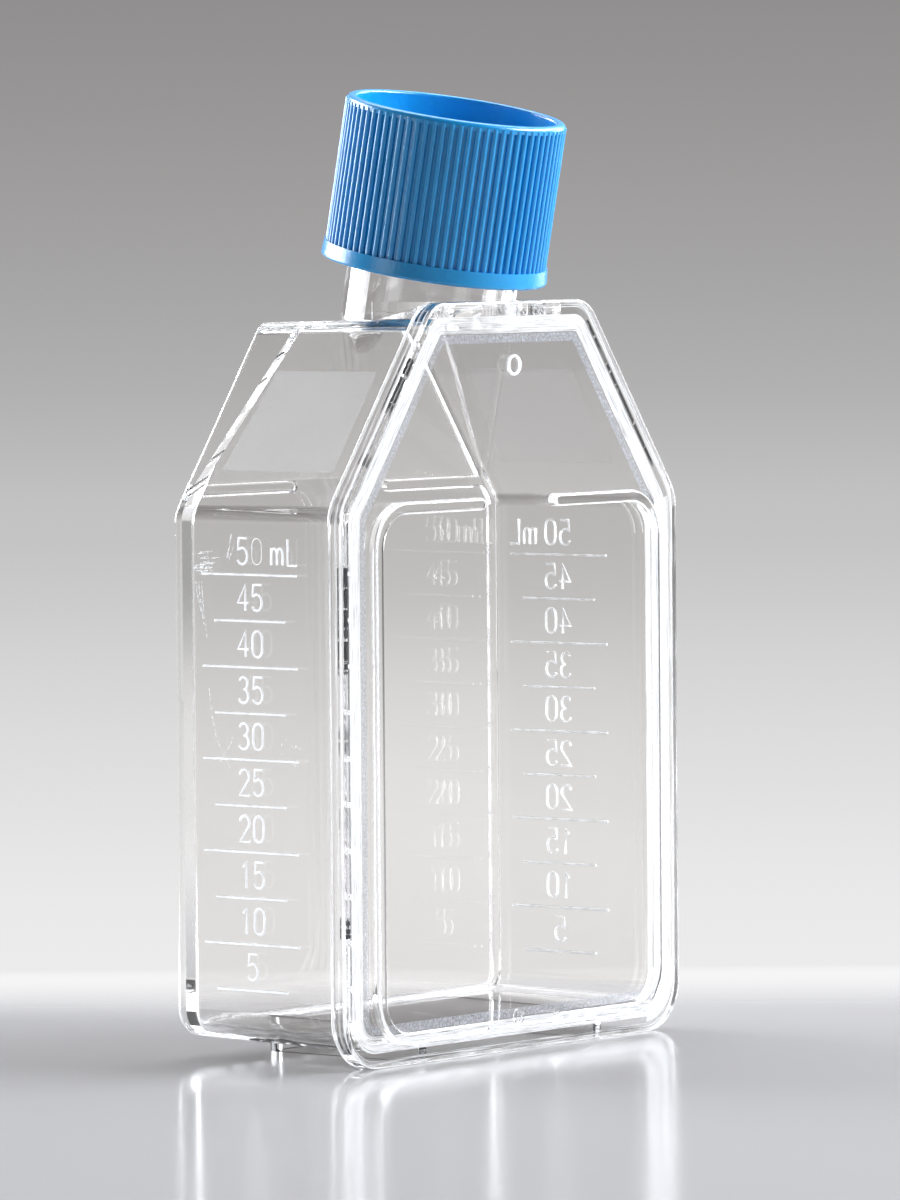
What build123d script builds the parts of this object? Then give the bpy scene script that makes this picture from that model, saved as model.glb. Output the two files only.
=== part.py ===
from build123d import *
from math import atan2, cos, radians, sin, tan
import os

# Cell culture flask, 25 square centimetres, with a canted neck and a plug-seal screw cap.
# +Z is up the flask as it stands on its end, +X is across its width, and -Y is its front,
# the side that the flat plate is welded to and the neck leans towards. The origin is on
# the floor, at the middle of the width, in the plane where the plate meets the body, and
# every depth is measured back from that plane. Millimetres throughout.

# --- Outline of the welded flange, seen from the front -------------------------------------
FLANGE_WIDTH = 56.0
FLANGE_HEIGHT = 77.2
SHOULDER_HEIGHT = 56.6        # where the upright sides turn into the sloping shoulders
TOP_MARGIN = 3.73             # flat top either side of the neck's boss
LOWER_RADIUS = 5.2
SHOULDER_RADIUS = 5.0
UPPER_RADIUS = 3.8

# --- Depths, back from the weld -----------------------------------------------------------
BODY_DEPTH = 23.1
PLATE_THICKNESS = 1.2
FLANGE_THICKNESS = 1.0
FLANGE_LIP = 1.6              # how far the flange stands out from the walls
WALL = 1.3
FLOOR_WALL = 1.1              # growth surface, at the back of the flask, and the ramp
DRAFT = 1.3                   # degrees that the walls close in towards the back

# --- Stacking ribs -------------------------------------------------------------------------
RIB_WIDTH = 1.3
PLATE_RIB_HEIGHT = 1.0
PLATE_RIB_INSET = 5.5         # flange edge to the rib's inner edge, at the sides
PLATE_RIB_LOW = 3.5           # floor to the lower rib's inner edge
PLATE_RIB_DROP = 0.7          # shoulder height down to the upper rib's inner edge
PLATE_RIB_RADIUS = 3.6
RIB_GAP = 12.8                # the opening at the middle of the upper and lower ribs
GATE_RADIUS = 1.1             # round mark left by the mould's gate, on the plate
LOWER_GATE_RADIUS = 0.8
GATE_RING = 0.3
GATE_DROP = 6.6               # top of the plate down to the gate mark
GATE_STAND = 0.25
RIM_HEIGHT = 0.9              # the rim stands this far behind the growth surface wall
RIM_GAP = 13.4                # the opening at the middle of the rim's upper bar
RIM_CORNER = 1.2              # where the rim turns in along its upper bars
RIM_OUTER_ROUND = 0.9
RIM_INNER_ROUND = 0.3

# --- Ramp from the growth surface up to the neck -------------------------------------------
RAMP_ANGLE = 14.5             # degrees away from upright
RAMP_RISE = 1.65              # shoulder height up to the foot of the ramp

# --- Foot rail under the end wall ----------------------------------------------------------
FOOT_WIDTH = 30.6
FOOT_BACK = 20.55
FOOT_RADIUS = 2.5

# --- Neck ----------------------------------------------------------------------------------
NECK_ANGLE = 11.0             # degrees that the neck leans to the front
NECK_RADIUS = 8.9
BORE_RADIUS = 7.7
NECK_ROOT_Y = 9.95            # where the upright throat turns into the leaning neck
NECK_SINK = 1.0               # top of the flange down to the root of the neck
NECK_LENGTH = 16.7
BOSS_WIDTH = 18.6

# --- Screw thread, the same helix on the neck and in the cap -------------------------------
THREAD_PITCH = 3.2
THREAD_TURNS = 1.75
THREAD_START = 7.4            # up the neck from its root
THREAD_WIDTH = 1.2
THREAD_HEIGHT = 0.6
THREAD_CLEARANCE = 0.15
THREAD_SINK = 0.15            # how deep each ridge is rooted in its own wall

# --- Graduations on both narrow sides ------------------------------------------------------
MARK_COUNT = 10
MARK_FIRST = 7.5
MARK_TOP_DROP = 6.8           # shoulder height down to the highest line
MARK_LONG = 12.6
MARK_SHORT = 9.4
MARK_CENTRE_Y = 12.5
MARK_RIGHT_SHIFT = 1.0        # the right-hand marks stand this much further back
MARK_WIDTH = 0.3
MARK_HEIGHT = 0.22

# --- Screw cap -----------------------------------------------------------------------------
CAP_HEIGHT = 16.9
CAP_GAP = 4.3                 # root of the neck to the cap's lower edge, along the neck
CAP_RADIUS = 11.5             # over the grip ribs
CAP_BAND_OVERHANG = 0.3       # the plain lower band stands out past the grip ribs
CAP_BAND_HEIGHT = 1.7
CAP_TOP_BAND = 0.8
CAP_TOP_SETBACK = 0.12         # the plain top band lies this far inside the grip ribs
CAP_TOP_ROUND = 0.5
CAP_EDGE_ROUND = 0.3
GRIP_COUNT = 78
GRIP_RIB_RADIUS = 0.3
GRIP_DEPTH = 0.36
RECESS_RADIUS = 10.4
RECESS_DEPTH = 3.1
PLUG_DEPTH = 8.5              # the plug reaches this far below the lip of the neck
PLUG_WALL = 1.1
PLUG_CLEARANCE = 0.08
LIP_CLEARANCE = 0.05

SHOULDER_REACH = FLANGE_WIDTH / 2 - BOSS_WIDTH / 2 - TOP_MARGIN
SHOULDER_SLOPE = atan2(SHOULDER_REACH, FLANGE_HEIGHT - SHOULDER_HEIGHT)
RAMP_START = SHOULDER_HEIGHT + RAMP_RISE
NECK_ROOT_Z = FLANGE_HEIGHT - NECK_SINK
MARK_SPACING = (SHOULDER_HEIGHT - MARK_TOP_DROP - MARK_FIRST) / (MARK_COUNT - 1)
FRONT_Y = -PLATE_THICKNESS
WELD_Y = 0.0
BACK_Y = BODY_DEPTH
FLOOR_OUT_Y = BACK_Y - RIM_HEIGHT
FLOOR_IN_Y = FLOOR_OUT_Y - FLOOR_WALL
EDGE_ROUND = 0.35
INNER_ROUND = 0.7
NECK_OVERLAP = NECK_RADIUS * tan(radians(NECK_ANGLE))
SKIRT_BORE = NECK_RADIUS + 2 * THREAD_HEIGHT + THREAD_CLEARANCE


def depth_plane(y):
    """Upright plane across the flask at this depth, seen from the front."""
    return Plane.XZ.offset(-y)


def wall_inset(y, extra=0.0):
    """How far the outside of the walls lies inside the flange edge at this depth."""
    return FLANGE_LIP + extra + (y - WELD_Y) * tan(radians(DRAFT))


def shoulder_x(z, inset=0.0):
    """Half-width of the shoulder outline at this height."""
    slope = SHOULDER_SLOPE
    reach = cos(slope) * FLANGE_WIDTH / 2 + sin(slope) * SHOULDER_HEIGHT - inset
    return (reach - sin(slope) * z) / cos(slope)


def flask_outline(inset):
    """Six-sided outline with rounded corners, set in evenly from the flange edge."""
    slope = SHOULDER_SLOPE
    half = FLANGE_WIDTH / 2 - inset
    reach = cos(slope) * FLANGE_WIDTH / 2 + sin(slope) * SHOULDER_HEIGHT - inset
    shoulder = (reach - cos(slope) * half) / sin(slope)
    top = FLANGE_HEIGHT - inset
    crown = shoulder_x(top, inset)
    Polygon(
        (-half, inset), (half, inset), (half, shoulder),
        (crown, top), (-crown, top), (-half, shoulder), align=None,
    )
    rows = vertices().group_by(Axis.Y)
    fillet(rows[0], max(LOWER_RADIUS - inset, 1.0))
    rows = vertices().group_by(Axis.Y)
    fillet(rows[-1], max(UPPER_RADIUS - inset, 1.0))
    bends = vertices().sort_by(lambda v: abs(v.Y - shoulder))[:2]
    fillet(bends, max(SHOULDER_RADIUS - inset, 1.0))


neck_lean = (0, -sin(radians(NECK_ANGLE)), cos(radians(NECK_ANGLE)))
neck_root = (0, NECK_ROOT_Y, NECK_ROOT_Z)
neck_axis = Axis(neck_root, neck_lean)
neck_plane = Plane(origin=neck_root, x_dir=(1, 0, 0), z_dir=neck_lean)
cap_section = Plane(
    origin=neck_root, x_dir=(1, 0, 0), z_dir=(0, -neck_lean[2], neck_lean[1])
)


def ramp_plane(start_y):
    """Plane of the ramp, leaning to the front from start_y at the ramp's foot."""
    lean = radians(RAMP_ANGLE)
    return Plane(
        origin=(0, start_y, RAMP_START), x_dir=(1, 0, 0), z_dir=(0, cos(lean), sin(lean))
    )


def rib_ring(half, low, high, radius, gap):
    """Rounded ring of rib width, open for the gap at the middle of its two ends."""
    width = 2 * (half + RIB_WIDTH)
    height = high - low + 2 * RIB_WIDTH
    with Locations((0, (low + high) / 2)):
        RectangleRounded(width, height, radius + RIB_WIDTH)
        RectangleRounded(2 * half, high - low, radius, mode=Mode.SUBTRACT)
        Rectangle(gap, height, mode=Mode.SUBTRACT)
    for end in (low - RIB_WIDTH / 2, high + RIB_WIDTH / 2):
        with Locations((-gap / 2, end), (gap / 2, end)):
            Circle(RIB_WIDTH / 2)


def side_plane(side):
    """Outer face of a narrow side, with its local Y running up the flask."""
    lean = radians(DRAFT)
    centre = MARK_CENTRE_Y + (MARK_RIGHT_SHIFT if side > 0 else 0)
    half = FLANGE_WIDTH / 2 - wall_inset(centre)
    return Plane(
        origin=(side * half, centre, 0),
        x_dir=(-sin(lean), side * cos(lean), 0),
        z_dir=(side * cos(lean), sin(lean), 0),
    )


def thread_start(helix):
    """Plane across the start of a thread, with its local X pointing out from the axis."""
    return Plane(origin=helix @ 0, x_dir=neck_plane.y_dir, z_dir=helix % 0)


def thread_profile(height, sink):
    """Section of the ridge, sunk a little into the wall that it stands on."""
    foot = THREAD_WIDTH / 2
    crest = THREAD_WIDTH / 5
    Polygon((-sink, -foot), (height, -crest), (height, crest), (-sink, foot), align=None)


# Thread ridge on the outside of the neck.
with BuildPart() as neck_thread:
    with BuildLine(neck_plane.offset(THREAD_START)) as neck_helix:
        Helix(THREAD_PITCH, THREAD_PITCH * THREAD_TURNS, NECK_RADIUS, direction=neck_lean)
    with BuildSketch(thread_start(neck_helix.line)):
        thread_profile(THREAD_HEIGHT, THREAD_SINK)
    sweep(path=neck_helix.line, is_frenet=True)

# Thread ridge inside the cap, half a pitch below the one on the neck.
with BuildPart() as cap_thread:
    with BuildLine(neck_plane.offset(THREAD_START - THREAD_PITCH / 2)) as cap_helix:
        Helix(THREAD_PITCH, THREAD_PITCH * THREAD_TURNS, SKIRT_BORE, direction=neck_lean)
    with BuildSketch(thread_start(cap_helix.line)):
        thread_profile(-THREAD_HEIGHT, -THREAD_SINK)
    sweep(path=cap_helix.line, is_frenet=True)

# Space inside the flask, in front of the growth surface and the ramp.
with BuildPart() as cavity:
    with BuildSketch(depth_plane(WELD_Y)):
        flask_outline(wall_inset(WELD_Y, WALL))
    with BuildSketch(depth_plane(FLOOR_IN_Y)):
        flask_outline(wall_inset(FLOOR_IN_Y, WALL))
    loft(ruled=True)
    split(bisect_by=ramp_plane(FLOOR_IN_Y), keep=Keep.BOTTOM)
    floor_edges = faces().filter_by(Axis.Y).sort_by(Axis.Y)[-1].edges()
    fillet(floor_edges.sort_by(Axis.Z)[:-1], INNER_ROUND)
    with BuildSketch(Plane.XY.offset(RAMP_START)):
        with Locations((0, NECK_ROOT_Y)):
            Circle(BORE_RADIUS)
    extrude(amount=NECK_ROOT_Z - RAMP_START)
    with BuildSketch(neck_plane.offset(-NECK_OVERLAP)):
        Circle(BORE_RADIUS)
    extrude(amount=NECK_LENGTH + 2 * NECK_OVERLAP)

# Pocket behind the ramp, open to the back, between the skirts of the shoulders.
with BuildPart() as ramp_pocket:
    with BuildSketch(depth_plane(WELD_Y)):
        flask_outline(wall_inset(BACK_Y, WALL))
    extrude(amount=-(BACK_Y + RIM_HEIGHT))
    split(bisect_by=ramp_plane(FLOOR_OUT_Y), keep=Keep.TOP)
    split(bisect_by=Plane.XY.offset(RAMP_START), keep=Keep.TOP)

# Shallow pocket behind the growth surface, which leaves the stacking rim round it.
with BuildPart() as rim_pocket:
    with BuildSketch(depth_plane(FLOOR_OUT_Y)):
        flask_outline(wall_inset(BACK_Y, RIB_WIDTH))
    extrude(amount=-2 * RIM_HEIGHT)
    split(bisect_by=Plane.XY.offset(RAMP_START - RIB_WIDTH), keep=Keep.BOTTOM)
    fillet(edges().filter_by(Axis.Y).sort_by(Axis.Z)[-2:], RIM_CORNER)

# The neck while still solid, with its lip rounded.
with BuildPart() as neck_rod:
    with BuildSketch(neck_plane.offset(-NECK_OVERLAP)):
        Circle(NECK_RADIUS)
    extrude(amount=NECK_LENGTH + NECK_OVERLAP)
    fillet(faces().sort_by(neck_axis)[-1].edges(), EDGE_ROUND)
    add(neck_thread.part)

# Flange round the open front of the body.
with BuildPart() as flange:
    with BuildSketch(depth_plane(WELD_Y)):
        flask_outline(0)
    extrude(amount=-FLANGE_THICKNESS)
    fillet(faces().sort_by(Axis.Y)[-1].edges(), EDGE_ROUND)

# Moulded body: walls, growth surface, ramp, flange, foot rail and neck in one piece.
with BuildPart() as flask_body:
    with BuildSketch(depth_plane(WELD_Y)):
        flask_outline(wall_inset(WELD_Y))
    with BuildSketch(depth_plane(BACK_Y)):
        flask_outline(wall_inset(BACK_Y))
    loft(ruled=True)
    add(rim_pocket.part, mode=Mode.SUBTRACT)
    add(ramp_pocket.part, mode=Mode.SUBTRACT)
    with BuildSketch(depth_plane(FLOOR_OUT_Y)):
        with Locations((0, RAMP_START - RIB_WIDTH / 2)):
            Rectangle(RIM_GAP + RIB_WIDTH, RIB_WIDTH)
            with Locations((-(RIM_GAP + RIB_WIDTH) / 2, 0), ((RIM_GAP + RIB_WIDTH) / 2, 0)):
                Circle(RIB_WIDTH / 2, mode=Mode.SUBTRACT)
    extrude(amount=-2 * RIM_HEIGHT, mode=Mode.SUBTRACT)
    fillet(faces().sort_by(Axis.Y)[-1].outer_wire().edges(), RIM_OUTER_ROUND)
    fillet(faces().sort_by(Axis.Y)[-1].inner_wires()[0].edges(), RIM_INNER_ROUND)
    add(flange.part)

    # Foot rail, level with the flange's lower edge
    foot_depth = FOOT_BACK - WELD_Y
    with BuildSketch(Plane.XY):
        with Locations((0, WELD_Y)):
            RectangleRounded(FOOT_WIDTH, 2 * foot_depth, FOOT_RADIUS)
            RectangleRounded(
                FOOT_WIDTH - 2 * RIB_WIDTH, 2 * (foot_depth - RIB_WIDTH),
                FOOT_RADIUS - RIB_WIDTH, mode=Mode.SUBTRACT,
            )
        with Locations((0, WELD_Y - foot_depth / 2)):
            Rectangle(FOOT_WIDTH, foot_depth, mode=Mode.SUBTRACT)
    extrude(amount=wall_inset(FOOT_BACK, WALL / 2))

    # Upright throat, leaning neck and the square boss in front of it
    with BuildSketch(Plane.XY.offset(RAMP_START)):
        with Locations((0, NECK_ROOT_Y)):
            Circle(NECK_RADIUS)
    extrude(amount=NECK_ROOT_Z - RAMP_START)
    add(neck_rod.part)
    boss_depth = NECK_ROOT_Y - WELD_Y
    with BuildSketch(Plane.XY.offset(NECK_ROOT_Z - 2 * WALL)):
        with Locations((0, WELD_Y + boss_depth / 2)):
            Rectangle(BOSS_WIDTH, boss_depth)
    extrude(amount=FLANGE_HEIGHT - NECK_ROOT_Z + 2 * WALL)

    # Hollow inside
    add(cavity.part, mode=Mode.SUBTRACT)

    # Raised graduation lines on both narrow sides, long at every tenth millilitre
    for side in (-1, 1):
        for index in range(MARK_COUNT):
            length = MARK_LONG if index % 2 else MARK_SHORT
            height = MARK_FIRST + index * MARK_SPACING
            with BuildSketch(side_plane(side).offset(-WALL / 4)):
                with Locations((0, height)):
                    SlotOverall(length, MARK_WIDTH)
            extrude(amount=WALL / 4 + MARK_HEIGHT)


flask_body.part.label = "flask_body"

# Flat front plate, welded to the flange, with the stacking ribs on its face.
with BuildPart() as front_plate:
    with BuildSketch(depth_plane(WELD_Y)):
        flask_outline(0)
    extrude(amount=PLATE_THICKNESS)
    fillet(faces().sort_by(Axis.Y)[0].edges(), EDGE_ROUND)
    with BuildSketch(depth_plane(FRONT_Y)):
        rib_ring(
            FLANGE_WIDTH / 2 - PLATE_RIB_INSET, PLATE_RIB_LOW,
            SHOULDER_HEIGHT - PLATE_RIB_DROP, PLATE_RIB_RADIUS, RIB_GAP,
        )
    extrude(amount=PLATE_RIB_HEIGHT)
    fillet(faces().filter_by(Axis.Y).group_by(Axis.Y)[0].edges(), EDGE_ROUND)
    # Rings left by the mould's gates, at the top and in the gap of the lower rib
    with BuildSketch(depth_plane(FRONT_Y)):
        with Locations((0, FLANGE_HEIGHT - GATE_DROP)):
            Circle(GATE_RADIUS)
            Circle(GATE_RADIUS - GATE_RING, mode=Mode.SUBTRACT)
        with Locations((0, PLATE_RIB_LOW)):
            Circle(LOWER_GATE_RADIUS)
            Circle(LOWER_GATE_RADIUS - GATE_RING, mode=Mode.SUBTRACT)
    extrude(amount=GATE_STAND)

front_plate.part.label = "front_plate"

# Screw cap: skirt with grip ribs, open recess and a hollow plug that seals the bore.
cap_low = CAP_GAP
cap_high = CAP_GAP + CAP_HEIGHT
valley = CAP_RADIUS - GRIP_DEPTH
top_band = CAP_RADIUS - CAP_TOP_SETBACK
deck_low = NECK_LENGTH + LIP_CLEARANCE
deck_high = cap_high - RECESS_DEPTH
plug_radius = BORE_RADIUS - PLUG_CLEARANCE
plug_bore = plug_radius - PLUG_WALL
plug_low = NECK_LENGTH - PLUG_DEPTH

with BuildPart() as screw_cap:
    with BuildSketch(cap_section):
        with BuildLine():
            Polyline(
                (0, plug_low), (plug_radius, plug_low), (plug_radius, deck_low),
                (SKIRT_BORE, deck_low), (SKIRT_BORE, cap_low),
                (CAP_RADIUS + CAP_BAND_OVERHANG, cap_low),
                (CAP_RADIUS + CAP_BAND_OVERHANG / 2, cap_low + CAP_BAND_HEIGHT),
                (valley, cap_low + CAP_BAND_HEIGHT), (valley, cap_high - CAP_TOP_BAND),
                (top_band, cap_high - CAP_TOP_BAND), (top_band, cap_high),
                (RECESS_RADIUS, cap_high), (RECESS_RADIUS, deck_high),
                (plug_bore, deck_high), (plug_bore, plug_low + PLUG_WALL),
                (0, plug_low + PLUG_WALL), close=True,
            )
        make_face()
        fillet(vertices().group_by(Axis.Y)[-1].sort_by(Axis.X)[-1], CAP_TOP_ROUND)
        fillet(vertices().group_by(Axis.Y)[-1].sort_by(Axis.X)[0], CAP_EDGE_ROUND)
        fillet(vertices().group_by(Axis.X)[-1], CAP_EDGE_ROUND)
    revolve(axis=neck_axis)
    add(cap_thread.part)
    # Grip ribs, all standing on one thin ring sunk into the skirt
    with BuildSketch(neck_plane.offset(cap_low + CAP_BAND_HEIGHT - EDGE_ROUND)):
        Circle(valley)
        with PolarLocations(CAP_RADIUS - GRIP_RIB_RADIUS, GRIP_COUNT):
            Circle(GRIP_RIB_RADIUS)
        Circle(valley - EDGE_ROUND, mode=Mode.SUBTRACT)
    extrude(amount=CAP_HEIGHT - CAP_BAND_HEIGHT - CAP_TOP_BAND + 2 * EDGE_ROUND)

screw_cap.part.label = "screw_cap"

os.makedirs("parts", exist_ok=True)
export_step(flask_body.part, "parts/flask_body.step")
export_step(front_plate.part, "parts/front_plate.step")
export_step(screw_cap.part, "parts/screw_cap.step")
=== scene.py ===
import math
import random

import bmesh
import bpy
from mathutils import Matrix, Vector


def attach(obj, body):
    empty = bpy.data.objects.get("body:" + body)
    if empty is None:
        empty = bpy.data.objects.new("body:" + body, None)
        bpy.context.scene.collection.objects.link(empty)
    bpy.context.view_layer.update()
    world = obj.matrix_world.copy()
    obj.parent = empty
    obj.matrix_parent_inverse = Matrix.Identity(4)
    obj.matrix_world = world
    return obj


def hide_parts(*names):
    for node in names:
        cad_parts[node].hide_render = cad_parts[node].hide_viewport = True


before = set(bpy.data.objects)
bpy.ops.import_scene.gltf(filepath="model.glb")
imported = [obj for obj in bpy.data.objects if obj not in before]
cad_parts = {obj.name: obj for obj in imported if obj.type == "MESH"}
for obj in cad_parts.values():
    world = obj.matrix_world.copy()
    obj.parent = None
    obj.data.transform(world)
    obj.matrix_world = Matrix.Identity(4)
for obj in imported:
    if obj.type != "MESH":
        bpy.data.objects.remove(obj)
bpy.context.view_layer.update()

# Cell culture flask: clear moulded body with a flat plate welded to its front, and a blue
# screw cap on a leaning neck. Sizes below are in millimetres, in the part's own frame.
MM = 0.001

# --- Outline of the welded flange, seen from the front
FLANGE_WIDTH = 56.0
FLANGE_HEIGHT = 77.2
CROWN_WIDTH = 26.06           # the flat top between the two shoulders
SHOULDER_HEIGHT = 56.6        # where the upright sides turn into the shoulders
# Nothing here uses this value; the shoulders of the part itself slope at 36.0 degrees
SHOULDER_SLOPE = math.radians(31.4)
LOWER_RADIUS = 5.2
SHOULDER_RADIUS = 5.0
UPPER_RADIUS = 3.8
FLANGE_LIP = 1.6              # how far the flange stands out from the walls
DRAFT = math.radians(1.3)     # how much the walls close in towards the back

# --- Etched patch on the outside of each shoulder; depths run back from the weld
PATCH_BOTTOM = 60.2
PATCH_TOP = 70.2
PATCH_FRONT = 3.85
PATCH_REAR = 18.75            # at the patch's bottom edge
PATCH_REAR_LEAN = math.radians(8.5)

# --- Graduations
MARK_COUNT = 10
MARK_FIRST = 7.5
MARK_SPACING = 4.7
MARK_CENTRE_DEPTH = 12.5
MARK_RIGHT_SHIFT = 1.0        # the right-hand marks stand this much further back
MARK_LONG = 12.6
MARK_SHORT = 9.4
MARK_STEP = 5                 # millilitres from one line to the next
FIGURE_HEIGHT = 2.65
FIGURE_WIDTH = 1.4
FIGURE_PITCH = 1.9
FIGURE_RISE = 1.05            # line up to the foot of its figure
UNIT_M_LEFT = 0.75            # from where a next figure would start to the m of mL
UNIT_M_WIDTH = FIGURE_WIDTH * 1.05
UNIT_L_LEFT = 2.95            # and from there to its L
STROKE_RADIUS = 0.13
LINE_WEIGHT = 0.9             # lines are this much finer than figures
WORN_WEIGHT = 0.35            # and so is the rubbed nought of the left-hand 50
LINE_LIFT = 0.12              # lines ride on the part's own raised lines
FIGURE_LIFT = 0.02

# --- Ring left by the mould's gate, on the plate
GATE_RADIUS = 0.95
GATE_HEIGHT = FLANGE_HEIGHT - 6.6
GATE_DEPTH = -1.36


# --- Small tools ---------------------------------------------------------------------------

def linear_colour(hex_colour):
    """A colour written as sRGB hex, turned to the linear values that shaders use."""
    channels = [int(hex_colour[i:i + 2], 16) / 255 for i in (1, 3, 5)]
    linear = [c / 12.92 if c <= 0.04045 else ((c + 0.055) / 1.055) ** 2.4 for c in channels]
    return (*linear, 1.0)


def scale_for(size):
    """The noise scale whose features are this many millimetres across."""
    return 1 / (size * MM)


def add(tree, kind, settings=None, links=None, **values):
    """Adds a node. Links join its inputs to other nodes' outputs, and values go to inputs
    by name, where _ stands for a space, or by number, as in _1."""
    node = tree.nodes.new(kind)
    for name, value in (settings or {}).items():
        setattr(node, name, value)
    for name, value in values.items():
        key = int(name[1:]) if name[0] == "_" else name.replace("_", " ")
        node.inputs[key].default_value = value
    for name, source in (links or {}).items():
        tree.links.new(source, node.inputs[name])
    return node


def new_material(name):
    """An empty node material with its surface and output ready."""
    material = bpy.data.materials.new(name)
    material.use_nodes = True
    tree = material.node_tree
    tree.nodes.clear()
    surface = tree.nodes.new("ShaderNodeBsdfPrincipled")
    output = tree.nodes.new("ShaderNodeOutputMaterial")
    tree.links.new(surface.outputs["BSDF"], output.inputs["Surface"])
    return material, tree, surface


# --- Materials -----------------------------------------------------------------------------

POLYSTYRENE_IOR = 1.59
POLYETHYLENE_IOR = 1.54
WHITENING_AND_SHEEN = "#f6f8fa"          # white film: real whitening where polystyrene is broken up into fine bubbles or scratches, painted highlight on raised strokes and the flange edge
PAINTED_GLOW_COLOUR = "#f4f7fb"    # painted glow: emission colour standing in for light that travels inside the walls


def clear_polystyrene(name, roughness, grain_relief, milkiness=0.0):
    """General-purpose polystyrene, injection moulded: water-clear, with faint flow waves
    from the polished tool, or matt and milky where the tool was etched."""
    material, tree, surface = new_material(name)
    surface.inputs["Base Color"].default_value = linear_colour("#fefdfc")
    surface.inputs["IOR"].default_value = POLYSTYRENE_IOR
    surface.inputs["Transmission Weight"].default_value = 1.0 - milkiness
    place = add(tree, "ShaderNodeTexCoord").outputs["Object"]

    # Flow waves lie over the whole moulding
    flow = add(tree, "ShaderNodeTexNoise", links={"Vector": place},
               Scale=scale_for(9.091), Detail=1.0)
    # Etched grain is about 0.05 mm in the tool, drawn at 0.25 mm so that it shows
    grain = add(tree, "ShaderNodeTexNoise", links={"Vector": place},
                Scale=scale_for(0.25), Detail=2.0)
    relief = add(tree, "ShaderNodeMath", {"operation": "MULTIPLY_ADD"}, {
        0: grain.outputs["Fac"], 2: flow.outputs["Fac"],
    }, _1=grain_relief)
    bump = add(tree, "ShaderNodeBump", links={"Height": relief.outputs[0]},
               Strength=0.15, Distance=0.02 * MM)
    tree.links.new(bump.outputs[0], surface.inputs["Normal"])

    # Handling leaves the polish a touch duller in patches
    haze = add(tree, "ShaderNodeTexNoise", links={"Vector": place},
               Scale=scale_for(3.333), Detail=4.0)
    rough = add(tree, "ShaderNodeMapRange", links={"Value": haze.outputs["Fac"]},
                From_Min=0.45, From_Max=0.75, To_Min=roughness, To_Max=roughness + 0.03)
    tree.links.new(rough.outputs[0], surface.inputs["Roughness"])
    return material


def white_film_with_painted_glow(name, low, high, mottling, glow, painted_flank_glow=0.0):
    """Raised strokes and scuffs in the clear plastic, drawn as a thin white film with a painted
    glow that stands in for light travelling inside the wall. On scuffs the film is real
    whitening, on raised strokes a painted highlight. Its cover runs from low to high in spots
    of the mottling's size, in millimetres."""
    material, tree, surface = new_material(name)
    surface.inputs["Base Color"].default_value = linear_colour(WHITENING_AND_SHEEN)
    surface.inputs["IOR"].default_value = POLYSTYRENE_IOR
    surface.inputs["Roughness"].default_value = 0.3
    # Painted glow: emission standing in for light gathered inside the wall
    surface.inputs["Emission Color"].default_value = linear_colour(PAINTED_GLOW_COLOUR)
    surface.inputs["Emission Strength"].default_value = glow
    if painted_flank_glow:
        # Painted highlight: the flank towards the growth surface glows brighter, standing in
        # for the light that runs in from behind
        facing = add(tree, "ShaderNodeSeparateXYZ", links={
            0: add(tree, "ShaderNodeNewGeometry").outputs["Normal"],
        })
        flank = add(tree, "ShaderNodeMapRange", links={"Value": facing.outputs["Y"]},
                    From_Min=0.50, From_Max=0.80, To_Min=glow, To_Max=painted_flank_glow)
        tree.links.new(flank.outputs[0], surface.inputs["Emission Strength"])
    place = add(tree, "ShaderNodeTexCoord").outputs["Object"]
    mottle = add(tree, "ShaderNodeTexNoise", links={"Vector": place},
                 Scale=scale_for(mottling), Detail=4.0)
    film = add(tree, "ShaderNodeMapRange", links={"Value": mottle.outputs["Fac"]},
               From_Min=0.40, From_Max=0.60, To_Min=low, To_Max=high)
    tree.links.new(film.outputs[0], surface.inputs["Alpha"])
    return material


def weld_film_and_painted_light(name, colour, glow, streak, band, low, high, held_band):
    """Films in the ultrasonic weld between flange and plate: streaks of fine bubbles drawn out
    along the joint, each as long and as wide as streak says, in millimetres. Their cover runs
    from low to high as the noise crosses band, and the held band does the same for the weld as
    a whole. The glow is painted light; the films at the flange's edge and on the right-hand
    stretch are painted highlights, and the dark film is painted shade. The ribbon's UV runs in
    metres along and across it."""
    material, tree, surface = new_material(name)
    surface.inputs["Base Color"].default_value = linear_colour(colour)
    surface.inputs["IOR"].default_value = POLYSTYRENE_IOR
    surface.inputs["Roughness"].default_value = 0.4
    # Painted glow, standing in for light piped along the flange
    surface.inputs["Emission Color"].default_value = linear_colour(PAINTED_GLOW_COLOUR)
    surface.inputs["Emission Strength"].default_value = glow
    place = add(tree, "ShaderNodeTexCoord").outputs["UV"]
    drawn = add(tree, "ShaderNodeVectorMath", {"operation": "MULTIPLY"}, {0: place})
    drawn.inputs[1].default_value = (scale_for(streak[0]), scale_for(streak[1]), 1)
    bubbles = add(tree, "ShaderNodeTexNoise", links={"Vector": drawn.outputs[0]},
                  Scale=1.0, Detail=3.0)
    film = add(tree, "ShaderNodeMapRange", links={"Value": bubbles.outputs["Fac"]},
               From_Min=band[0], From_Max=band[1], To_Min=low, To_Max=high)
    # The film comes and goes along the joint
    reach = add(tree, "ShaderNodeTexNoise", links={"Vector": place},
                Scale=scale_for(14.286), Detail=1.0)
    held = add(tree, "ShaderNodeMapRange", links={"Value": reach.outputs["Fac"]},
               From_Min=held_band[0], From_Max=held_band[1])
    both = add(tree, "ShaderNodeMath", {"operation": "MULTIPLY"}, {
        0: film.outputs[0], 1: held.outputs[0],
    })
    tree.links.new(both.outputs[0], surface.inputs["Alpha"])
    return material


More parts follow.
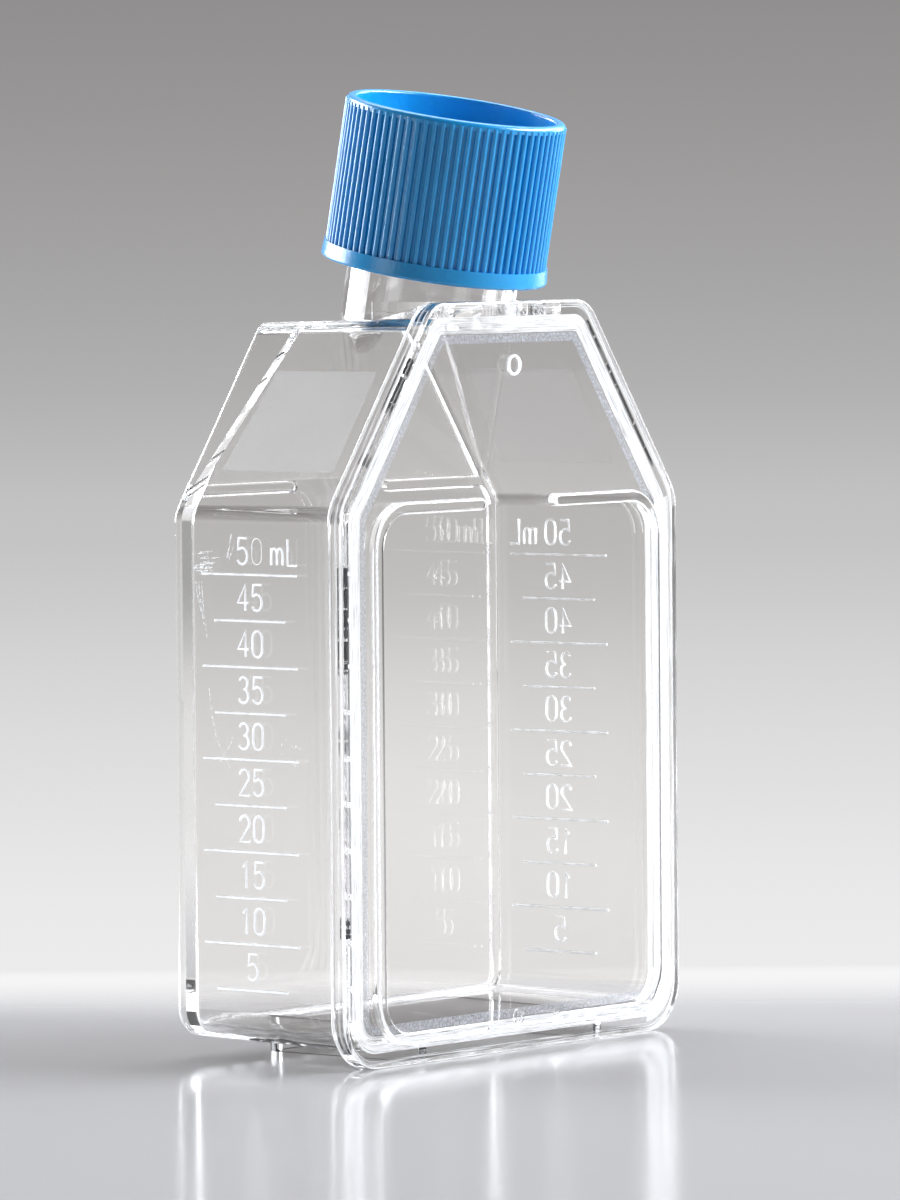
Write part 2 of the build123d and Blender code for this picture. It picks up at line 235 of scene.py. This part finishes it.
def satin_polyethylene():
    """High-density polyethylene, injection moulded in azure blue: satin and slightly waxy,
    with light passing a little way in."""
    material, tree, surface = new_material("satin_polyethylene")
    place = add(tree, "ShaderNodeTexCoord").outputs["Object"]
    cloud = add(tree, "ShaderNodeTexNoise", links={"Vector": place},
                Scale=scale_for(3.846), Detail=3.0)
    tint = add(tree, "ShaderNodeMix", {"data_type": "RGBA"}, {"Factor": cloud.outputs["Fac"]})
    tint.inputs[6].default_value = linear_colour("#0c8fce")
    tint.inputs[7].default_value = linear_colour("#119cdc")
    tree.links.new(tint.outputs[2], surface.inputs["Base Color"])
    surface.inputs["IOR"].default_value = POLYETHYLENE_IOR
    surface.inputs["Specular IOR Level"].default_value = 0.75
    surface.inputs["Subsurface Weight"].default_value = 0.2
    surface.inputs["Subsurface Radius"].default_value = (0.3, 0.6, 1.0)
    surface.inputs["Subsurface Scale"].default_value = 0.6 * MM
    rough = add(tree, "ShaderNodeMapRange", links={"Value": cloud.outputs["Fac"]},
                To_Min=0.20, To_Max=0.30)
    tree.links.new(rough.outputs[0], surface.inputs["Roughness"])
    # Skin of the moulding: a fine orange peel
    skin = add(tree, "ShaderNodeTexNoise", links={"Vector": place},
               Scale=scale_for(0.4167), Detail=5.0)
    bump = add(tree, "ShaderNodeBump", links={"Height": skin.outputs["Fac"]},
               Strength=0.5, Distance=0.05 * MM)
    tree.links.new(bump.outputs[0], surface.inputs["Normal"])
    return material


POLISHED = clear_polystyrene("polished_polystyrene", roughness=0.0, grain_relief=0.0)
ETCHED = clear_polystyrene("etched_polystyrene", roughness=0.20, grain_relief=6.0,
                           milkiness=0.22)
# Lit and shaded copies of one stroke film: the near strokes are a painted highlight; the far
# ones have less cover and glow as painted shade, with a painted highlight on their rear flank
NEAR_STROKES_PAINTED_LIT = white_film_with_painted_glow("raised_stroke_painted_highlight", low=0.55, high=0.85,
                                    mottling=1.4286, glow=0.5)
FAR_STROKES_PAINTED_SHADE = white_film_with_painted_glow("far_stroke_painted_shade_and_glow", low=0.35, high=0.7,
                                   mottling=1.4286, glow=0.2, painted_flank_glow=9.0)
# Scuffs: real whitening, with a painted glow
SCUFF_AND_GLOW = white_film_with_painted_glow("scuffed_polystyrene_painted_glow", low=0.0, high=0.7, mottling=0.4, glow=0.4)
# Fused weld: real whitening of fine bubbles, with a painted glow
FUSED_AND_GLOW = weld_film_and_painted_light("fused_weld_painted_glow", WHITENING_AND_SHEEN, glow=0.6, streak=(4.0, 0.1667),
                           band=(0.30, 0.60), low=0.25, high=0.9, held_band=(0.20, 0.40))
# Painted shade: a near-black, patchy film for the dark streaks in the joint
WELD_GAP_SHADE = weld_film_and_painted_light("weld_gap_painted_shade", "#14171b", glow=0.0, streak=(0.7692, 2.5),
                             band=(0.40, 0.43), low=0.0, high=1.0, held_band=(0.49, 0.51))
# Weld flash: real squeeze-out, with a painted glow
FLASH_AND_GLOW = weld_film_and_painted_light("weld_flash_painted_glow", "#c6cede", glow=0.25,
                           streak=(0.2857, 0.2857), band=(0.30, 0.70), low=0.2, high=0.8,
                           held_band=(0.20, 0.40))
# Painted highlight: broken white streaks along the flange's outer edge
FLANGE_EDGE_HIGHLIGHT = weld_film_and_painted_light("flange_edge_painted_highlight", WHITENING_AND_SHEEN, glow=0.6, streak=(6.667, 0.1111),
                             band=(0.45, 0.62), low=0.0, high=0.75, held_band=(0.25, 0.45))
# Painted highlight: the right-hand stretch of the weld, bright all along
RIGHT_WELD_HIGHLIGHT = weld_film_and_painted_light("right_weld_painted_highlight", WHITENING_AND_SHEEN, glow=0.6,
                           streak=(8.333, 0.2857), band=(0.35, 0.65), low=0.3, high=0.85,
                           held_band=(0.0, 0.1))
BLUE = satin_polyethylene()


# --- The welded flask ----------------------------------------------------------------------

SAME_PLANE = 0.99998          # cosine between the normals of faces in one flat wall
WIDE_WALL = 25.0              # square millimetres; a larger flat face is a wall
ROUND_REACH = math.radians(50)    # faces that turn further than this meet at an edge
PLATE_BITE = 0.01             # the plate sinks this far into the flange as they are joined
BEHIND_FLANGE = 1.2           # depth at which the shoulder walls are clear of the flange
SHOULDER_OUTWARD = 0.5        # least sideways part of a shoulder wall's normal
SHOULDER_UPWARD = (0.4, 0.8)  # and the range of its upward part


def copy_of(node, name):
    """A free copy of a solid, as a new piece."""
    piece = bpy.data.objects.new(name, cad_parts[node].data.copy())
    bpy.context.scene.collection.objects.link(piece)
    return piece


def settle(piece):
    """Applies the piece's modifiers to its mesh."""
    shown = piece.evaluated_get(bpy.context.evaluated_depsgraph_get())
    mesh = bpy.data.meshes.new_from_object(shown)
    piece.modifiers.clear()
    piece.data = mesh


def flat_regions(form):
    """Groups the faces that lie in one plane. Gives each face's group, and the area and
    the mean normal of each group."""
    group = {}
    area = []
    normal = []
    for start in form.faces:
        if start.index in group:
            continue
        number = len(area)
        group[start.index] = number
        total, lean, queue = 0.0, Vector(), [start]
        while queue:
            face = queue.pop()
            size = face.calc_area()
            total += size
            lean += face.normal * size
            for edge in face.edges:
                for other in edge.link_faces:
                    if other.index in group:
                        continue
                    if other.normal.dot(start.normal) > SAME_PLANE:
                        group[other.index] = number
                        queue.append(other)
        area.append(total)
        normal.append(lean.normalized() if lean.length > 0 else start.normal.copy())
    return group, area, normal


def level_normals(piece):
    """Flat walls keep their own normal right up to their edges, and the rounds between
    them run smoothly from one wall's normal to the next."""
    form = bmesh.new()
    form.from_mesh(piece.data)
    form.faces.ensure_lookup_table()
    group, area, normal = flat_regions(form)
    is_wide = [a > WIDE_WALL * MM * MM for a in area]
    round_edge = math.cos(ROUND_REACH)
    result = []
    for face in form.faces:
        if is_wide[group[face.index]]:
            result.extend([normal[group[face.index]]] * len(face.loops))
            continue
        own = face.normal
        for loop in face.loops:
            walls, rounds = Vector(), Vector()
            seen = set()
            for other in loop.vert.link_faces:
                if other.normal.dot(own) < round_edge:
                    continue
                number = group[other.index]
                if is_wide[number]:
                    if number not in seen:
                        seen.add(number)
                        walls += normal[number]
                else:
                    rounds += other.normal * other.calc_area() ** 0.5
            chosen = walls if seen else rounds
            result.append(chosen.normalized() if chosen.length > 0 else own.copy())
    form.free()
    piece.data.shade_smooth()
    piece.data.normals_split_custom_set([tuple(n) for n in result])


def is_shoulder(face):
    """Whether a face is on the outside of a shoulder, behind the flange."""
    middle = face.calc_center_median()
    normal = face.normal
    outward = normal.x * middle.x > 0 and abs(normal.x) > SHOULDER_OUTWARD
    upward = SHOULDER_UPWARD[0] < normal.z < SHOULDER_UPWARD[1]
    return outward and upward and middle.y > BEHIND_FLANGE * MM


def etch_shoulders(form):
    """Marks off the etched patch on the outside of each shoulder."""
    rear_corner = Vector((0, PATCH_REAR, PATCH_BOTTOM))
    rearward = Vector((0, math.cos(PATCH_REAR_LEAN), math.sin(PATCH_REAR_LEAN)))
    cuts = (
        ((0, 0, PATCH_BOTTOM), (0, 0, 1)), ((0, 0, PATCH_TOP), (0, 0, 1)),
        ((0, PATCH_FRONT, 0), (0, 1, 0)), (rear_corner, rearward),
    )
    for spot, across in cuts:
        faces = [f for f in form.faces if is_shoulder(f)]
        edges = {e for f in faces for e in f.edges}
        verts = {v for f in faces for v in f.verts}
        bmesh.ops.bisect_plane(
            form, geom=list(verts) + list(edges) + faces, dist=0.0005 * MM,
            plane_co=Vector(spot) * MM, plane_no=across,
        )
    for face in form.faces:
        middle = face.calc_center_median() / MM
        inside = PATCH_BOTTOM < middle.z < PATCH_TOP and middle.y > PATCH_FRONT
        behind = (middle - rear_corner).dot(rearward)
        if is_shoulder(face) and inside and behind < 0:
            face.material_index = 1


def welded_flask():
    """Body and plate melted into one clear piece, as the weld leaves them."""
    flask = copy_of("flask_body", "clear_flask")
    plate = copy_of("front_plate", "plate_copy")
    plate.data.transform(Matrix.Translation((0, PLATE_BITE * MM, 0)))
    for piece in (flask, plate):
        piece.data.materials.clear()
        form = bmesh.new()
        form.from_mesh(piece.data)
        bmesh.ops.remove_doubles(form, verts=form.verts, dist=0.001 * MM)
        form.to_mesh(piece.data)
        form.free()
    join = flask.modifiers.new("weld", "BOOLEAN")
    join.operation = "UNION"
    join.solver = "EXACT"
    join.object = plate
    settle(flask)
    bpy.data.objects.remove(plate)
    flask.data.materials.clear()
    flask.data.materials.append(POLISHED)
    flask.data.materials.append(ETCHED)
    form = bmesh.new()
    form.from_mesh(flask.data)
    bmesh.ops.remove_doubles(form, verts=form.verts, dist=0.002 * MM)
    for face in form.faces:
        face.material_index = 0
    etch_shoulders(form)
    form.to_mesh(flask.data)
    form.free()
    level_normals(flask)
    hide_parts("flask_body", "front_plate")
    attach(flask, "flask")


welded_flask()

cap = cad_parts["screw_cap"]
cap.data.materials.clear()
cap.data.materials.append(BLUE)


# --- Graduations on both narrow sides ------------------------------------------------------

def arc(cx, cy, rx, ry, start, end, count=9):
    """Points along part of an ellipse, angles in degrees."""
    turns = [math.radians(start + (end - start) * i / count) for i in range(count + 1)]
    return [(cx + rx * math.cos(t), cy + ry * math.sin(t)) for t in turns]


# Each figure as the strokes of an engraving cutter, in a box one wide and one high
FIGURES = {
    "0": [arc(0.5, 0.70, 0.46, 0.30, 0, 180) + arc(0.5, 0.30, 0.46, 0.30, 180, 360)
          + [(0.96, 0.70)]],
    "1": [[(0.30, 0.80), (0.62, 1.0), (0.62, 0.0)]],
    "2": [arc(0.5, 0.73, 0.45, 0.27, 165, -25) + [(0.04, 0.0), (0.98, 0.0)]],
    "3": [arc(0.48, 0.76, 0.40, 0.24, 155, -80) + arc(0.48, 0.27, 0.47, 0.27, 80, -155)],
    "4": [[(0.74, 0.0), (0.74, 1.0), (0.02, 0.30), (1.0, 0.30)]],
    "5": [[(0.90, 1.0), (0.16, 1.0), (0.08, 0.56)] + arc(0.47, 0.32, 0.49, 0.32, 125, -150)],
    "m": [[(0.0, 0.0), (0.0, 0.66)], arc(0.26, 0.42, 0.26, 0.22, 180, 0) + [(0.52, 0.0)],
          arc(0.78, 0.42, 0.26, 0.22, 180, 0) + [(1.04, 0.0)]],
    "L": [[(0.0, 1.0), (0.0, 0.0), (0.85, 0.0)]],
}


def side_frame(side, height, depth):
    """Placing on a narrow side: reading direction, up, and outward."""
    out = Vector((side * math.cos(DRAFT), math.sin(DRAFT), 0))
    upward = Vector((0, 0, 1))
    along = upward.cross(out)
    half = FLANGE_WIDTH / 2 - FLANGE_LIP - depth * math.tan(DRAFT)
    turn = Matrix((along, upward, out)).transposed().to_4x4()
    return Matrix.Translation(Vector((side * half, depth, height))) @ turn


def stroke_piece(name, strokes, material):
    """Fine round-topped strokes, each given as its radius and its points, in millimetres."""
    curve = bpy.data.curves.new(name, "CURVE")
    curve.dimensions = "3D"
    curve.bevel_depth = MM
    curve.bevel_resolution = 2
    curve.use_fill_caps = True
    for radius, points in strokes:
        spline = curve.splines.new("POLY")
        spline.points.add(len(points) - 1)
        for spot, point in zip(spline.points, points):
            spot.co = (*(Vector(point) * MM), 1.0)
            spot.radius = radius
    drawn = bpy.data.objects.new(name, curve)
    bpy.context.scene.collection.objects.link(drawn)
    bpy.context.view_layer.update()
    mesh = bpy.data.meshes.new_from_object(
        drawn.evaluated_get(bpy.context.evaluated_depsgraph_get())
    )
    bpy.data.objects.remove(drawn)
    mesh.shade_smooth()
    piece = bpy.data.objects.new(name, mesh)
    bpy.context.scene.collection.objects.link(piece)
    mesh.materials.clear()
    mesh.materials.append(material)
    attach(piece, "flask")


def graduation_strokes(side):
    """All lines and figures of one narrow side, with a long line at every second mark and
    the unit after the topmost figure."""
    strokes = []
    for row in range(MARK_COUNT):
        topmost = row == MARK_COUNT - 1
        height = MARK_FIRST + row * MARK_SPACING
        shift = MARK_RIGHT_SHIFT if side > 0 else 0
        place = side_frame(side, height, MARK_CENTRE_DEPTH + shift)
        half = (MARK_LONG if row % 2 else MARK_SHORT) / 2
        line = [place @ Vector((x, 0, LINE_LIFT)) for x in (-half, 0, half)]
        strokes.append((STROKE_RADIUS * LINE_WEIGHT, line))
        figure = str(MARK_STEP * (row + 1))
        start = -(len(figure) - 1) * FIGURE_PITCH / 2 - FIGURE_WIDTH / 2
        letters = [(c, start + i * FIGURE_PITCH, FIGURE_WIDTH) for i, c in enumerate(figure)]
        if topmost:
            end = start + len(figure) * FIGURE_PITCH
            letters += [("m", end + UNIT_M_LEFT, UNIT_M_WIDTH),
                        ("L", end + UNIT_L_LEFT, FIGURE_WIDTH)]
        for letter, left, width in letters:
            worn = side < 0 and topmost and letter == "0"
            radius = STROKE_RADIUS * (WORN_WEIGHT if worn else 1.0)
            for line in FIGURES[letter]:
                points = [
                    place @ Vector((left + x * width, FIGURE_RISE + y * FIGURE_HEIGHT,
                                    FIGURE_LIFT))
                    for x, y in line
                ]
                strokes.append((radius, points))
    return strokes


stroke_piece("left_graduations", graduation_strokes(-1), NEAR_STROKES_PAINTED_LIT)
stroke_piece("right_graduations", graduation_strokes(1), FAR_STROKES_PAINTED_SHADE)


def gate_ring():
    """Crest of the ring that the mould's gate left near the top of the plate."""
    ring = [Vector((x, GATE_DEPTH, GATE_HEIGHT + z))
            for x, z in arc(0, 0, GATE_RADIUS, GATE_RADIUS, 0, 360, 24)]
    return [(STROKE_RADIUS, ring)]


# The ring's white crest is a painted highlight
stroke_piece("gate_ring", gate_ring(), NEAR_STROKES_PAINTED_LIT)


# --- Wear ----------------------------------------------------------------------------------

RUB_COUNT = 30
RUB_ALONG = (-7.6, -5.4)
RUB_HEIGHT = (49.5, 52.0, 50.8)   # lowest, highest and most common
RUB_LENGTH = (0.6, 2.0)
RUB_RISE = (-0.05, 0.25)
RUB_RADIUS = (0.02, 0.05)
TRAIL_TOP = 49.0
TRAILS = ((-6.9, 44.6), (-6.5, 43.2), (-7.3, 46.0))
TRAIL_BEND = 0.25
TRAIL_LEAN = 0.7
TRAIL_RADIUS = 0.05
SCRATCH_RADIUS = 0.045
SCRATCHES = (
    (0.07, ((-3.0, 51.4), (-2.4, 53.9))),
    (SCRATCH_RADIUS, ((-2.8, 51.2), (-1.9, 53.2))),
    (SCRATCH_RADIUS, ((-5.6, 38.2), (-5.3, 35.6), (-4.7, 33.2), (-3.8, 31.4), (-2.6, 29.8))),
    (SCRATCH_RADIUS, ((-4.2, 30.6), (-2.7, 32.6), (-2.5, 33.3))),
)
NICK_COUNT = 14
NICK_ALONG = (4.0, 6.6)
NICK_HEIGHT = (27.2, 33.0)
NICK_LEAN = (-0.2, 0.2)
NICK_LENGTH = (0.1, 0.35)


def scuffs():
    """Handling marks on the left side: short rubs near its top with faint trails below
    them, a few scratches, and nicks beside the figures. Places are given along the side
    from the middle of the marks, and up, in millimetres."""
    draw = random.Random(11)
    marks = []
    for _ in range(RUB_COUNT):
        x, z = draw.uniform(*RUB_ALONG), draw.triangular(*RUB_HEIGHT)
        reach = draw.uniform(*RUB_LENGTH)
        end = (x + reach, z + draw.uniform(*RUB_RISE))
        marks.append((draw.uniform(*RUB_RADIUS), ((x, z), end)))
    for x, low in TRAILS:
        bend = (x + TRAIL_BEND, (TRAIL_TOP + low) / 2)
        marks.append((TRAIL_RADIUS, ((x, TRAIL_TOP), bend, (x + TRAIL_LEAN, low))))
    marks.extend(SCRATCHES)
    for _ in range(NICK_COUNT):
        x, z = draw.uniform(*NICK_ALONG), draw.uniform(*NICK_HEIGHT)
        end = (x + draw.uniform(*NICK_LEAN), z + draw.uniform(*NICK_LENGTH))
        marks.append((SCRATCH_RADIUS, ((x, z), end)))
    return [
        (radius, [side_frame(-1, z, MARK_CENTRE_DEPTH) @ Vector((x, 0, FIGURE_LIFT))
                  for x, z in points])
        for radius, points in marks
    ]


stroke_piece("side_scuffs", scuffs(), SCUFF_AND_GLOW)


# --- Weld between flange and plate, with painted highlight and shade along it --------------

CORNER_STEPS = 8
RUN_STEP = 4.0                # straight runs are cut up into pieces of about this length
WHOLE_WAY = ((0, 1000),)


def flask_outline(inset):
    """The flange's rounded outline, set in evenly, as points in millimetres that start at
    the lower left corner and run to the right."""
    half, crown = FLANGE_WIDTH / 2, CROWN_WIDTH / 2
    corners = [
        (-half, 0, LOWER_RADIUS), (half, 0, LOWER_RADIUS),
        (half, SHOULDER_HEIGHT, SHOULDER_RADIUS), (crown, FLANGE_HEIGHT, UPPER_RADIUS),
        (-crown, FLANGE_HEIGHT, UPPER_RADIUS), (-half, SHOULDER_HEIGHT, SHOULDER_RADIUS),
    ]
    points = []
    for i, (x, z, radius) in enumerate(corners):
        here = Vector((x, z))
        before = (Vector(corners[i - 1][:2]) - here).normalized()
        after = (Vector(corners[(i + 1) % 6][:2]) - here).normalized()
        opening = before.angle(after) / 2
        bisector = (before + after).normalized()
        centre = here + bisector * (radius / math.sin(opening))
        first = here + before * (radius / math.tan(opening)) - centre
        last = here + after * (radius / math.tan(opening)) - centre
        sweep = first.angle_signed(last)
        for k in range(CORNER_STEPS + 1):
            spoke = first.copy()
            spoke.rotate(Matrix.Rotation(-sweep * k / CORNER_STEPS, 2))
            points.append(centre + spoke * ((radius - inset) / radius))
    outline = []
    for here, after in zip(points, points[1:] + points[:1]):
        pieces = max(1, round((after - here).length / RUN_STEP))
        outline += [here.lerp(after, k / pieces) for k in range(pieces)]
    return outline


def weld_ribbon(name, outer, inner, depth, material, stretches=WHOLE_WAY):
    """Flat ribbon in the joint, between two insets from the flange's edge. Stretches are
    the lengths it covers, counted in millimetres along the outline from its start."""
    form = bmesh.new()
    layer = form.loops.layers.uv.new("along")
    edges = [[Vector((p.x, depth, p.y)) * MM for p in flask_outline(inset)]
             for inset in (outer, inner)]
    rings = [[form.verts.new(p) for p in edge] for edge in edges]
    travel = 0.0
    count = len(rings[0])
    for i in range(count):
        j = (i + 1) % count
        step = (edges[0][j] - edges[0][i]).length
        reach = (travel + step / 2) / MM
        if not any(first < reach < last for first, last in stretches):
            travel += step
            continue
        face = form.faces.new((rings[0][i], rings[0][j], rings[1][j], rings[1][i]))
        width = (inner - outer) * MM
        corners = ((travel, 0), (travel + step, 0), (travel + step, width), (travel, width))
        for loop, spot in zip(face.loops, corners):
            loop[layer].uv = spot
        travel += step
    mesh = bpy.data.meshes.new(name)
    form.to_mesh(mesh)
    form.free()
    piece = bpy.data.objects.new(name, mesh)
    bpy.context.scene.collection.objects.link(piece)
    mesh.materials.append(material)
    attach(piece, "flask")


# The dark film in the joint is painted shade
weld_ribbon("unfused_gap", 0.95, 1.35, 0.0, WELD_GAP_SHADE, ((113, 133), (163, 180), (190, 226)))
weld_ribbon("fused_weld", 1.55, 3.3, 0.0, FUSED_AND_GLOW)
weld_ribbon("weld_flash", 3.4, 4.3, 0.06, FLASH_AND_GLOW)
# Painted highlight along the flange's outer edge
weld_ribbon("flange_edge_highlight", 0.15, 0.85, 0.0, FLANGE_EDGE_HIGHLIGHT)
# Painted highlight on the right-hand stretch of the weld
weld_ribbon("right_weld", 0.9, 5.0, 0.03, RIGHT_WELD_HIGHLIGHT, ((52, 110),))


# --- Setting -------------------------------------------------------------------------------

# Where the camera stands, seen from the flask
AZIMUTH = math.radians(-51.72)
ELEVATION = math.radians(2.861)
ROLL = math.radians(-0.435)
DISTANCE = 859.7
AIM_DEPTH = 10.55             # behind the weld, near the middle of the flask's depth
AIM_RIGHT = 2.548
AIM_UP = 46.073
back = Vector((
    math.sin(AZIMUTH) * math.cos(ELEVATION), -math.cos(AZIMUTH) * math.cos(ELEVATION),
    math.sin(ELEVATION),
))
right = Vector((math.cos(AZIMUTH), math.sin(AZIMUTH), 0))
up = back.cross(right)
away = Vector((-back.x, -back.y, 0)).normalized()

# The sheet, in metres: where it starts in front of the flask, where it turns up behind
SHEET_FRONT = -3.0
SHEET_TURN = 1.2
SHEET_BEND = 0.1
BEND_STEPS = 12
SHEET_TOP = 2.2
SHEET_HALF_WIDTH = 3.0
# Glow of the sheet by distance behind the flask, in metres, each metre of height counting
# as several of distance
GLOW_RISE = 6.0
GLOW_SPAN = 6.0
GLOW = (
    (0.03, "#ededed"), (0.17, "#eaeaea"), (0.34, "#e2e2e2"), (0.57, "#d9d9d9"),
    (0.92, "#cccccc"), (1.30, "#c3c2c2"), (1.50, "#b2b1b1"), (1.66, "#a8a7a7"),
    (1.82, "#a09e9e"), (1.97, "#989696"), (2.10, "#929090"), (2.40, "#888686"),
    (3.00, "#b0b0b0"), (6.00, "#c4c4c4"),
)


def paper_sweep():
    """One pale sheet: flat under the flask, then rising as a backdrop that glows softly
    from behind, brightest low down."""
    material, tree, surface = new_material("pale_paper")
    place = add(tree, "ShaderNodeTexCoord").outputs["Object"]
    axes = add(tree, "ShaderNodeSeparateXYZ", links={0: place})
    run = add(tree, "ShaderNodeVectorMath", {"operation": "DOT_PRODUCT"}, {0: place})
    run.inputs[1].default_value = away
    reach = add(tree, "ShaderNodeMath", {"operation": "MULTIPLY_ADD"}, {
        0: axes.outputs["Z"], 2: run.outputs["Value"],
    }, _1=GLOW_RISE)
    span = add(tree, "ShaderNodeMapRange", links={"Value": reach.outputs[0]},
               From_Min=0.0, From_Max=GLOW_SPAN)
    shades = add(tree, "ShaderNodeValToRGB", links={0: span.outputs[0]})
    steps = shades.color_ramp.elements
    while len(steps) < len(GLOW):
        steps.new(1.0)
    for step, (spot, grey) in zip(steps, GLOW):
        step.position = spot / GLOW_SPAN
        step.color = linear_colour(grey)
    start = add(tree, "ShaderNodeMapRange", {"interpolation_type": "SMOOTHSTEP"}, {
        "Value": reach.outputs[0],
    }, From_Min=0.03, From_Max=0.09)
    paper = add(tree, "ShaderNodeMix", {"data_type": "RGBA"}, {"Factor": start.outputs[0]})
    paper.inputs[6].default_value = linear_colour("#a6a5a5")
    paper.inputs[7].default_value = linear_colour("#000000")
    tree.links.new(paper.outputs[2], surface.inputs["Base Color"])
    tree.links.new(shades.outputs["Color"], surface.inputs["Emission Color"])
    front = add(tree, "ShaderNodeMapRange", {"interpolation_type": "SMOOTHSTEP"}, {
        "Value": run.outputs["Value"],
    }, From_Min=-0.3, From_Max=-1.2, To_Min=0.0, To_Max=0.4)
    glow = add(tree, "ShaderNodeMath", {"operation": "ADD"}, {
        0: start.outputs[0], 1: front.outputs[0],
    })
    # The light behind the sheet falls off towards its right-hand end
    across = add(tree, "ShaderNodeVectorMath", {"operation": "DOT_PRODUCT"}, {0: place})
    across.inputs[1].default_value = right
    falloff = add(tree, "ShaderNodeMapRange", {"interpolation_type": "SMOOTHSTEP"}, {
        "Value": across.outputs["Value"],
    }, From_Min=0.4, From_Max=1.0, To_Min=1.0, To_Max=0.5)
    lit = add(tree, "ShaderNodeMath", {"operation": "MULTIPLY"}, {
        0: glow.outputs[0], 1: falloff.outputs[0],
    })
    tree.links.new(lit.outputs[0], surface.inputs["Emission Strength"])
    gloss = add(tree, "ShaderNodeMapRange", links={"Value": start.outputs[0]},
                To_Min=0.4, To_Max=0.0)
    tree.links.new(gloss.outputs[0], surface.inputs["Specular IOR Level"])
    surface.inputs["Roughness"].default_value = 0.13

    # Side view of the sheet: distance behind the flask, and height
    profile = [(SHEET_FRONT, 0.0), (SHEET_TURN, 0.0)]
    for step in range(1, BEND_STEPS + 1):
        turn = math.pi / 2 * step / BEND_STEPS
        profile.append((SHEET_TURN + SHEET_BEND * math.sin(turn),
                        SHEET_BEND - SHEET_BEND * math.cos(turn)))
    profile.append((SHEET_TURN + SHEET_BEND, SHEET_TOP))
    verts = [tuple(away * behind + right * side + Vector((0, 0, rise)))
             for behind, rise in profile for side in (-SHEET_HALF_WIDTH, SHEET_HALF_WIDTH)]
    faces = [(i, i + 1, i + 3, i + 2) for i in range(0, len(verts) - 2, 2)]
    mesh = bpy.data.meshes.new("floor")
    mesh.from_pydata(verts, [], faces)
    mesh.shade_smooth()
    mesh.materials.append(material)
    piece = bpy.data.objects.new("floor", mesh)
    bpy.context.scene.collection.objects.link(piece)


paper_sweep()

FLASK_MIDDLE = Vector((0, 0.01, 0.05))
SOFTBOX_WHITE = "#f6f9ff"


def softbox(name, across, behind, height, size, radiance):
    """Diffused panel placed to the side of, behind and above the flask, and facing it, all
    in metres. Radiance 1 is as bright as fully lit white paper."""
    light = bpy.data.lights.new(name, "AREA")
    light.shape = "RECTANGLE"
    light.size, light.size_y = size
    light.energy = radiance * math.pi * size[0] * size[1]
    light.color = linear_colour(SOFTBOX_WHITE)[:3]
    holder = bpy.data.objects.new(name, light)
    bpy.context.scene.collection.objects.link(holder)
    holder.location = FLASK_MIDDLE + right * across + away * behind + Vector((0, 0, height))
    facing = FLASK_MIDDLE - holder.location
    holder.rotation_euler = facing.to_track_quat("-Z", "Y").to_euler()


softbox("left_softbox", -0.44, 0.27, 0.16, size=(0.4, 0.35), radiance=12.0)
softbox("right_softbox", 0.50, 0.05, 0.30, size=(0.5, 0.26), radiance=20.0)
softbox("rear_softbox", 0.40, 0.45, 0.20, size=(0.3, 0.45), radiance=5.0)
softbox("top_softbox", 0.0, 0.34, 0.68, size=(0.7, 0.5), radiance=4.5)
softbox("low_strip", -0.46, -0.36, 0.07, size=(0.22, 0.24), radiance=1.5)

world = bpy.data.worlds.new("studio")
bpy.context.scene.world = world
world.use_nodes = True
world.node_tree.nodes["Background"].inputs["Color"].default_value = linear_colour("#e4e6e8")
world.node_tree.nodes["Background"].inputs["Strength"].default_value = 0.15

LENS = 248.1
aim = Vector((0, AIM_DEPTH, 0)) + right * AIM_RIGHT + up * AIM_UP
camera = bpy.data.cameras.new("camera")
camera.sensor_fit = "VERTICAL"
camera.sensor_height = 36.0
camera.lens = LENS
camera.clip_start = 0.01
camera.clip_end = 20.0
eye = bpy.data.objects.new("camera", camera)
bpy.context.scene.collection.objects.link(eye)
level = right * math.cos(ROLL) + up * math.sin(ROLL)
upright = up * math.cos(ROLL) - right * math.sin(ROLL)
stance = Matrix((level, upright, back)).transposed().to_4x4()
eye.matrix_world = Matrix.Translation((aim + back * DISTANCE) * MM) @ stance
bpy.context.scene.camera = eye

# Light inside the clear walls is thrown back and forth many times before it leaves
WALL_BOUNCES = 64
cycles = bpy.context.scene.cycles
cycles.max_bounces = WALL_BOUNCES
cycles.transmission_bounces = WALL_BOUNCES
cycles.glossy_bounces = WALL_BOUNCES
cycles.transparent_max_bounces = 24
cycles.sample_clamp_indirect = 6.0
bpy.context.scene.view_settings.view_transform = "Standard"
